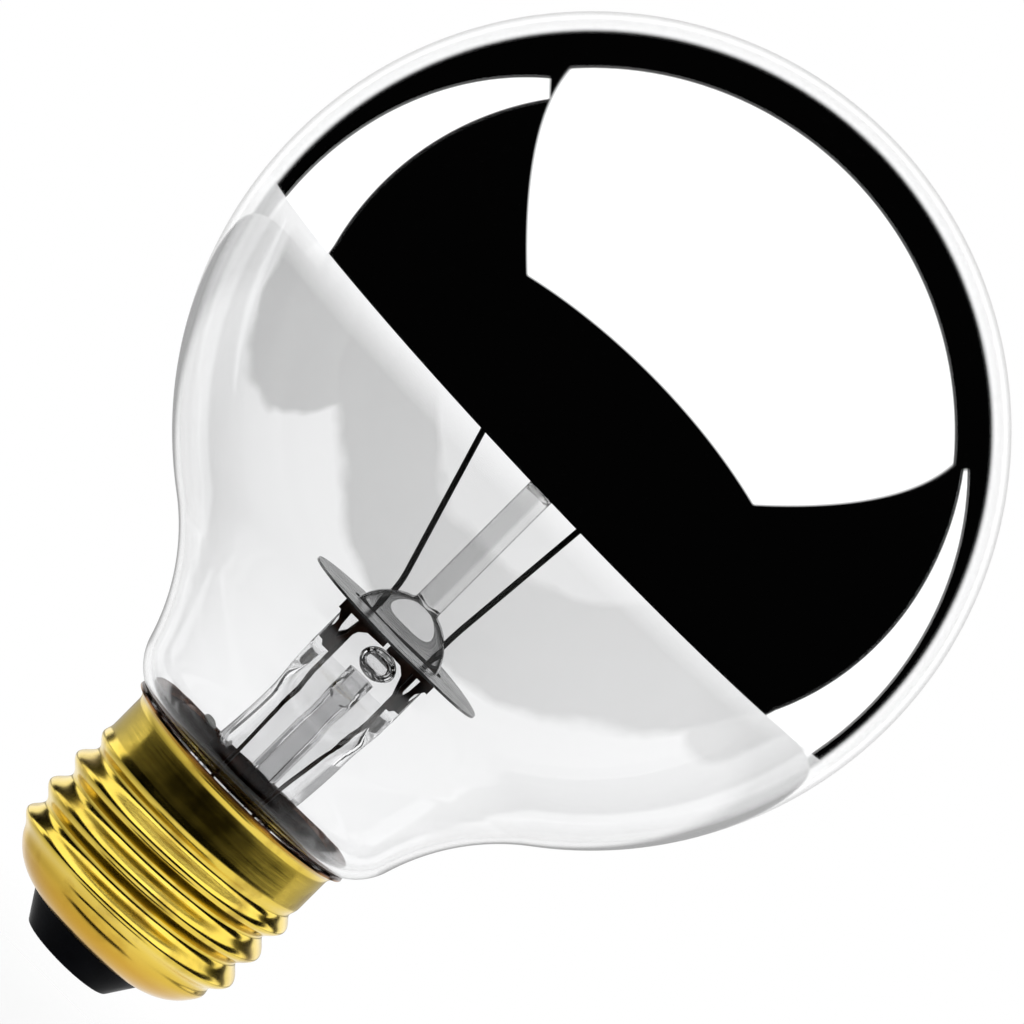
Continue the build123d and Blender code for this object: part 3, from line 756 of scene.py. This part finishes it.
def warp(x, y):
    """Slight bends of the sheet: the front is tipped up, the right side hangs a little, and the rim waves."""
    wave = 0.05 * np.sin(2 * np.arctan2(y, x - mount_shift) + 0.5)
    return wave - 0.026 * y - 0.02 * np.maximum(x - 5, 0) ** 1.5


face = np.stack([grid_x, grid_y, disc_low + warp(grid_x, grid_y)], axis=-1)
top_face = face + np.array([0, 0, disc_sheet])
disc_skin = skin(np.vstack([face, top_face[::-1]]), looped=True)
disc = piece("heat_disc_sheet", disc_skin, ["heat_disc"])

# %% [markdown]
# ## Glass finishes
# Clear glass is nearly all shape: no colour and no roughness. But grey painted shade lies on the front of the
# globe below the film's edge, where the glass would mirror the dark room. It is stronger to the left, and its
# lower edge hangs in bows. The stem's glass is a softer kind with drawn lines along it, painted light and
# shade on its rod, and painted dark edges. Both let lamp rays through, so that the wires inside are lit as in
# a real lamp.

# %% Painted shade on the clear glass
clear = Finish("clear_glass")
across, deep, up = clear.parts()
ragged = clear.between(clear.noise(120, 3), *noise_span, -0.0012, 0.0012)

# Each bow is (middle across, lowest height, rise, softness), in metres and rise per metre
main_bow, thin_bow = (0.0031, 0.0485, 25.5, 0.0009), (0.0012, 0.0590, 46.5, 0.0006)
left_bow, right_bow = (-0.0235, 0.0540, 170.0, 0.0008), (0.0275, 0.0590, 330.0, 0.0008)
left_strength, right_strength, thin_strength = 0.95, 0.75, 0.55


def above_bow(middle, low, rise, soft):
    """1 above a bow, lowest at its middle and rising by the square of the way from it, and 0 below."""
    away = clear.math("SUBTRACT", across, middle)
    bow = clear.math("MULTIPLY_ADD", clear.math("MULTIPLY", away, away), rise, low)
    return clear.between(clear.math("SUBTRACT", clear.math("ADD", up, ragged), bow), -soft, soft)


# Patches, bows and a faint band of grey, all painted shade: the glass is greyed where it would mirror the
# dark room, more on the left and less on the right.
left_patch = clear.math("MULTIPLY", above_bow(*left_bow), left_strength)
right_patch = clear.math("MULTIPLY", above_bow(*right_bow), right_strength)
faint = clear.product(clear.between(up, 0.026, 0.046, 0.04, 0.24),
                      clear.between(across, 0.008, 0.028, 1.0, 0.1))
shade_veil = above_bow(*main_bow)
for patch in (left_patch, right_patch, faint):
    shade_veil = clear.math("MAXIMUM", shade_veil, patch)

# %% Clear glass
under_film = clear.between(up, 0.0645, 0.0677, 1.0, 0.0)
thin_middle = clear.between(above_bow(*thin_bow), 0.0, 1.0, 1.0, thin_strength)
to_right = clear.between(across, -0.020, 0.022, 1.0, 0.6)
front_only = clear.between(deep, -0.004, 0.004, 1.0, 0.0)
cloudy = clear.between(clear.noise(40, 2), 0.2, 0.8, 0.85, 1.0)
shade_veil = clear.product(shade_veil, under_film, thin_middle, to_right, front_only, cloudy)
# The grey tint below is the colour of the painted shade.
bare_tint, shade_veil_tint, reflection_tint = (0.975, 0.977, 0.98), (0.54, 0.54, 0.54), (0.12, 0.12, 0.12, 1)
clear.set(Base_Color=clear.mix(shade_veil, bare_tint, shade_veil_tint), Roughness=0.0, IOR=1.54,
          Specular_Tint=reflection_tint, Transmission_Weight=1.0)
clear.lamps_through((0.96, 0.97, 0.97))
give(clear, bulb)

# %% Drawn glass of the stem
rod_begins, thick_begins = (0.0484, 0.0496), (0.0385, 0.0402)
# Colour of the painted dark edges, shade that stands in for the dark room seen through the glass.
painted_edge_shade = (0.02, 0.02, 0.02)


def drawn_glass(name, tube_tints, rod_shade_and_light_tints):
    """Softer glass with drawn lines: two tints for tubes, and two for the rod above the press, a painted lit
    tint on its right and back side and a painted shaded tint on the rest. Dark edges on thick glass, and
    fainter ones wherever glass is seen edge-on, are painted shade for the dark room seen through it."""
    glass = Finish(name)
    lines = glass.noise(500, 2, stretch=(1, 1, 0.06))
    across, deep, up = glass.parts()
    right_side, back_side = glass.between(across, 0.0010, 0.0014), glass.between(deep, -0.0001, 0.0001)
    # The rod's right and back side take the lit tint and the rest the shaded one: painted light and shade.
    painted_lit_side = glass.math("MAXIMUM", right_side, back_side)
    body = glass.mix(glass.between(up, *rod_begins), glass.mix(lines, *tube_tints),
                     glass.mix(painted_lit_side, *rod_shade_and_light_tints))
    # Dark rims where the glass is seen edge-on: painted shade, strongest on thick glass.
    edge_on = glass.add("ShaderNodeLayerWeight", Blend=0.5).outputs["Facing"]
    thick_rim = glass.product(glass.between(edge_on, 0.42, 0.85), glass.between(up, *thick_begins))
    any_rim = glass.between(edge_on, 0.72, 1.0, 0.0, 0.7)
    rim = glass.math("ADD", thick_rim, any_rim, clamp=True)
    glass.set(Base_Color=glass.mix(rim, body, painted_edge_shade), Roughness=0.0, IOR=1.52, Transmission_Weight=1.0)
    glass.bump(lines, 0.0003, 0.10)
    glass.lamps_through((0.9, 0.91, 0.91))
    return glass


# Each second pair of tints is a painted shaded side and a painted lit side of the rod above the press.
give(drawn_glass("stem_glass", ((0.90, 0.90, 0.905), (0.97, 0.97, 0.97)),
                 ((0.52, 0.52, 0.52), (0.95, 0.95, 0.95))), stem)
give(drawn_glass("exhaust_glass", ((0.74, 0.74, 0.745), (0.86, 0.86, 0.86)),
                 ((0.8, 0.8, 0.8), (0.9, 0.9, 0.9))), exhaust)

# %% [markdown]
# ## The other finishes
# The film is a clean mirror with hardly any haze. The brass is bright where it was rolled, stained in
# patches, warmer on its round end and browned by heat at the lip. Inside the skirt it is dark brown, partly
# heat browning and partly painted shade. All the rest are mottled by noise, and wires have drawn lines along
# them.

# %% Mirror finish
silver = Finish("mirror_silver")
silver_tint = silver.ramp(silver.noise(90, 4), (0.3, (0.93, 0.93, 0.925)), (0.7, (0.97, 0.97, 0.965)))
silver.set(Base_Color=silver_tint, Metallic=1.0,
           Roughness=silver.between(silver.noise(140, 3), 0.4, 0.75, 0.0, 0.012))
give(silver, mirror)

# %% Brass colour
brass = Finish("sheet_brass")
deep_yellow, light_yellow, stain_brown = (0.77, 0.56, 0.072), (0.92, 0.70, 0.13), (0.40, 0.25, 0.035)
# The last colour is the dark brown inside the skirt, partly heat browning and partly painted shade.
end_orange, lip_brown, inside_brown_and_shade = (0.60, 0.33, 0.03), (0.20, 0.075, 0.025), (0.07, 0.024, 0.010)
side_x, side_y, side_z = brass.parts()
rolled = brass.noise(900, 3, stretch=(0.05, 0.05, 1))
stain = brass.noise(260, 4)
yellow = brass.ramp(brass.noise(120, 3), (0.3, deep_yellow), (0.7, light_yellow))
worn = brass.mix(brass.between(stain, 0.52, 0.72, 0.0, 0.65), yellow, stain_brown)
warm = brass.mix(brass.between(side_z, 0.0088, 0.0058, 0.0, 0.9), worn, end_orange)
edged = brass.mix(brass.between(side_z, 0.02395, 0.02455, 0.0, 0.9), warm, lip_brown)

# %% Brass inside the lip, and its surface
# Inside face of the skirt and lip: dark brown, partly heat browning and partly painted shade in the recess.
lip_in = brass.math("SUBTRACT", lip_middle * MM, brass.span(side_x, side_y))
lip_up = brass.math("MAXIMUM", brass.math("SUBTRACT", side_z, skirt_top * MM), 0.0)
sheet_near, sheet_far = (lip_round + 0.4 * sheet) * MM, (lip_round + 0.6 * sheet) * MM
inner_face = brass.between(brass.span(lip_in, lip_up), sheet_near, sheet_far)
inner_side = brass.product(inner_face, brass.between(side_z, 0.0203, 0.0206))
uneven = brass.math("ADD", brass.math("MULTIPLY", rolled, 0.5), stain)
brass.set(Base_Color=brass.mix(inner_side, edged, inside_brown_and_shade), Metallic=1.0,
          Roughness=brass.between(uneven, 0.5, 1.1, 0.11, 0.27))
brass.bump(brass.math("ADD", rolled, brass.math("MULTIPLY", stain, 0.6)), 0.00004, 0.35)
give(brass, shell, eyelet)

# %% Mottled finishes
def mottled(name, patches, stops, grain, rough, relief, depth, strength, **sockets):
    """Finish from three noises, each (scale, detail, stretch): patches run through colour stops, grain sets
    the roughness between two values, and relief is a bump of a depth in metres and a strength."""
    made = Finish(name)
    tint = made.ramp(made.noise(*patches), *stops)
    roughness = made.between(made.noise(*grain), *noise_span, *rough)
    made.set(Base_Color=tint, Roughness=roughness, **sockets)
    made.bump(made.noise(*relief), depth, strength)
    return made


black = mottled("black_glass", patches=(350, 4), grain=(500, 3), rough=(0.2, 0.4),
                stops=((0.35, (0.0012, 0.0014, 0.0022)), (0.75, (0.003, 0.0034, 0.005))),
                relief=(700, 3), depth=0.00006, strength=0.35, Specular_IOR_Level=0.02)
baked = mottled("baked_cement", patches=(330, 5, (1, 1, 0.6)), grain=(900, 3), rough=(0.45, 0.85),
                stops=((0.3, (0.005, 0.002, 0.0012)), (0.52, (0.016, 0.006, 0.003)),
                       (0.7, (0.06, 0.018, 0.009))),
                relief=(1600, 4), depth=0.00025, strength=0.6, Specular_IOR_Level=0.05)
solder = mottled("solder", patches=(800, 4), grain=(1500, 3), rough=(0.25, 0.5),
                 stops=((0.3, (0.42, 0.42, 0.41)), (0.7, (0.62, 0.62, 0.60))),
                 relief=(900, 3), depth=0.0001, strength=0.5, Metallic=1.0)
plate = mottled("heat_disc", patches=(300, 4), grain=(1200, 3, (0.1, 1, 1)), rough=(0.2, 0.4),
                stops=((0.3, (0.06, 0.06, 0.06)), (0.7, (0.20, 0.20, 0.20))),
                relief=(500, 3), depth=0.0001, strength=0.3, Metallic=1.0)
give(black, insulator)
give(baked, cement)
give(solder, tip, "side_solder")
give(plate, disc)

# %% Wire finishes
along_wire = (1, 1, 0.1)


def drawn_wire(name, dark, bright, metal):
    """Metal wire with drawn lines along it and patches of oxide."""
    return mottled(name, patches=(700, 4), stops=((0.35, dark), (0.7, bright)),
                   grain=(2500, 2, along_wire), rough=(0.35, 0.55), relief=(4000, 2, along_wire),
                   depth=0.00002, strength=0.4, Metallic=metal, Specular_IOR_Level=0.1)


give(drawn_wire("lead_wire", (0.003, 0.003, 0.003), (0.010, 0.009, 0.008), 0.2), *leads)
give(drawn_wire("copper_wire", (0.008, 0.005, 0.004), (0.035, 0.016, 0.010), 0.3), centre_wire, side_wire,
     "seal_wire_left", "seal_wire_right")
give(drawn_wire("tungsten", (0.12, 0.12, 0.125), (0.25, 0.25, 0.26), 1.0), filament,
     *(f"filament_support_{number}" for number in (1, 2, 3)))
give(drawn_wire("clip_strip", (0.006, 0.004, 0.003), (0.045, 0.020, 0.013), 0.4), "disc_clip_left",
     "disc_clip_right")

# %% [markdown]
# ## The studio
# A mirrored globe is a picture of its room, so the room is drawn as light by direction: a white backdrop
# straight behind the lamp, a little darker in its middle, a wide soft panel overhead, two upright strips at
# the sides, and a dark front. The world shader works out each from the ray's direction. Rays from the eye,
# straight or only bent by glass, find plain white.

# %% World nodes
world = bpy.data.worlds.new("studio")
bpy.context.scene.world = world
world.use_nodes = True
world.node_tree.nodes.clear()
room = Nodes(world.node_tree)


def over(value, limit, soft):
    """0 below the limit and 1 above it, with a soft edge."""
    return room.math("MULTIPLY_ADD", room.math("SUBTRACT", value, limit), 1 / soft, 0.5, clamp=True)


def line(*terms):
    """Sum of (factor, value) terms."""
    made = 0.0
    for factor, value in terms:
        made = room.math("MULTIPLY_ADD", value, factor, made)
    return made


# %% Backdrop by direction
ray = room.add("ShaderNodeTexCoord").outputs["Generated"]
dx, dy, dz = room.add("ShaderNodeSeparateXYZ", Vector=ray).outputs
aside_x = room.math("ABSOLUTE", dx)
behind = line((forward.y, dy), (forward.z, dz))
backdrop_edge, middle_edge, flag_edge = (math.cos(math.radians(angle)) for angle in (36.5, 17, 62))
panel_soft, foot_soft = 0.012, 0.1
backdrop = over(behind, backdrop_edge, 0.03)
backdrop_middle = over(behind, middle_edge, 0.04)
before_flag = over(room.math("MULTIPLY", behind, -1.0), -flag_edge, panel_soft)
right_of = over(dx, 0.0, 0.01)
left_of = room.math("SUBTRACT", 1.0, right_of)

# %% Panels of light by direction
# Each edge is a plane through the lamp, and its panel lies where the sum of these terms is above zero
edges = {
    "top_right": ((-0.523, dx), (-0.183, dy), (0.833, dz)),
    "top_left": ((0.558, dx), (-0.170, dy), (0.812, dz)),
    "top_front": ((0.432, dy), (0.902, dz)),
    "strip_top": ((0.755, aside_x), (-1.0, dz)),
    "left_inner": ((1.0, dy), (-0.158, aside_x), (-0.28, dz)),
    "left_outer": ((0.82, aside_x), (-0.28, dz), (-1.0, dy)),
    "right_inner": ((1.0, dy), (-0.395, aside_x), (-0.70, dz)),
    "right_outer": ((1.0, aside_x), (-1.0, dy)),
}
within = {name: over(line(*terms), 0.0, panel_soft) for name, terms in edges.items()}
left_foot = over(line((1.0, dz), (0.28, aside_x)), 0.0, foot_soft)
top_panel = room.product(within["top_right"], within["top_left"], within["top_front"], before_flag)
left_strip = room.product(left_of, within["left_inner"], within["left_outer"], within["strip_top"], left_foot)
right_strip = room.product(right_of, within["right_inner"], within["right_outer"], within["strip_top"])
print(len(edges), "edges of panels")

# %% World light
panel_light, strip_light, backdrop_light, dark_light = 1.4, 1.4, 1.18, 0.001
middle_dimming = -0.32
lights = ((panel_light, top_panel), (strip_light, left_strip), (strip_light, right_strip),
          (backdrop_light, backdrop), (middle_dimming, backdrop_middle))
studio = room.math("ADD", line(*lights), dark_light)
ray_path = room.add("ShaderNodeLightPath").outputs
mirrored, scattered = (over(ray_path[depth], 0.5, 0.01) for depth in ("Glossy Depth", "Diffuse Depth"))
straight = room.math("SUBTRACT", 1.0, room.math("MAXIMUM", mirrored, scattered))
through_glass = room.math("MULTIPLY", ray_path["Is Transmission Ray"], straight)
seen = room.math("MAXIMUM", ray_path["Is Camera Ray"], through_glass)
unseen = room.math("SUBTRACT", 1.0, seen)
level = room.math("ADD", room.math("MULTIPLY", studio, unseen), seen)
background = room.add("ShaderNodeBackground", Color=(1, 1, 1, 1), Strength=level)
room.add("ShaderNodeOutputWorld", Surface=background.outputs[0])
print("panels", panel_light, "strips", strip_light, "backdrop", backdrop_light)

# %% [markdown]
# ## The floor
# The lamp is held by its screw cap, so it stands a little above a pale floor. The floor is a round sheet that
# fades out at its rim into the white room, and it shows only from above. It keeps the lamp's soft shadow.
# Reflections see a bright table instead, dim at its front left and far out. One dark slot in it draws the
# dash on the round end of the shell.

# %% Floor sheet
floor_drop, floor_radius, floor_back = 40.0, 470.0, 200.0
floor_rings, floor_around = 12, 96
floor_profile = np.linspace((1, -floor_drop), (floor_radius, -floor_drop), floor_rings)
floor_points = turned(floor_profile, floor_around).reshape(-1, 3) + [0, floor_back, 0]
floor_quads = band_faces(floor_rings, floor_around, False)[:, ::-1]
floor_mesh = bpy.data.meshes.new("floor")
floor_mesh.from_pydata((floor_points * MM).tolist(), [], floor_quads.tolist() + [list(range(floor_around))])
floor = bpy.data.objects.new("floor", floor_mesh)
bpy.context.scene.collection.objects.link(floor)
print("floor", floor_drop, "mm under the contact")

# %% Floor as the eye sees it
pale = Finish("pale_floor")
pale_tint = pale.ramp(pale.noise(30, 2), (0.3, (0.90, 0.90, 0.90)), (0.7, (0.93, 0.93, 0.93)))
pale.set(Base_Color=pale_tint, Roughness=0.9)
length = pale.add("ShaderNodeVectorMath", Vector=pale.place)
length.operation = "LENGTH"
far = length.outputs["Value"]
from_below = pale.add("ShaderNodeNewGeometry").outputs["Backfacing"]
gone = pale.math("MAXIMUM", pale.between(far, 0.10, 0.25), from_below)
sheet_seen = pale.blend(gone, pale.shader, pale.add("ShaderNodeBsdfTransparent"))

# %% Floor as reflections see it
dim_level, far_level = 0.35, 0.47
slot_away, slot_half_deep, slot_half_wide = 0.030, (0.009, 0.013), (0.022, 0.034)
floor_x, floor_y, _ = pale.parts()
right_part = pale.between(floor_x, -0.16, 0.02, dim_level, 1.0)
back_part = pale.between(floor_y, 0.03, 0.10, dim_level, 1.0)
lit = pale.math("MAXIMUM", right_part, back_part)
off_slot_y = pale.between(pale.math("ABSOLUTE", pale.math("ADD", floor_y, slot_away)), *slot_half_deep)
off_slot_x = pale.between(pale.math("ABSOLUTE", floor_x), *slot_half_wide)
off_slot = pale.math("MAXIMUM", off_slot_x, off_slot_y)
near = pale.between(far, 0.26, 0.34, 1.0, far_level)
not_front = pale.between(floor_y, -0.26, -0.14)
table = pale.add("ShaderNodeEmission", Strength=pale.product(lit, off_slot, near, not_front))
reflected = pale.between(pale.add("ShaderNodeLightPath").outputs["Glossy Depth"], 0.4, 0.6)
pale.show(pale.blend(reflected, sheet_seen, table))
floor_mesh.materials.append(pale.material)
print("table with a dark slot", slot_away / MM, "mm in front of the axis")
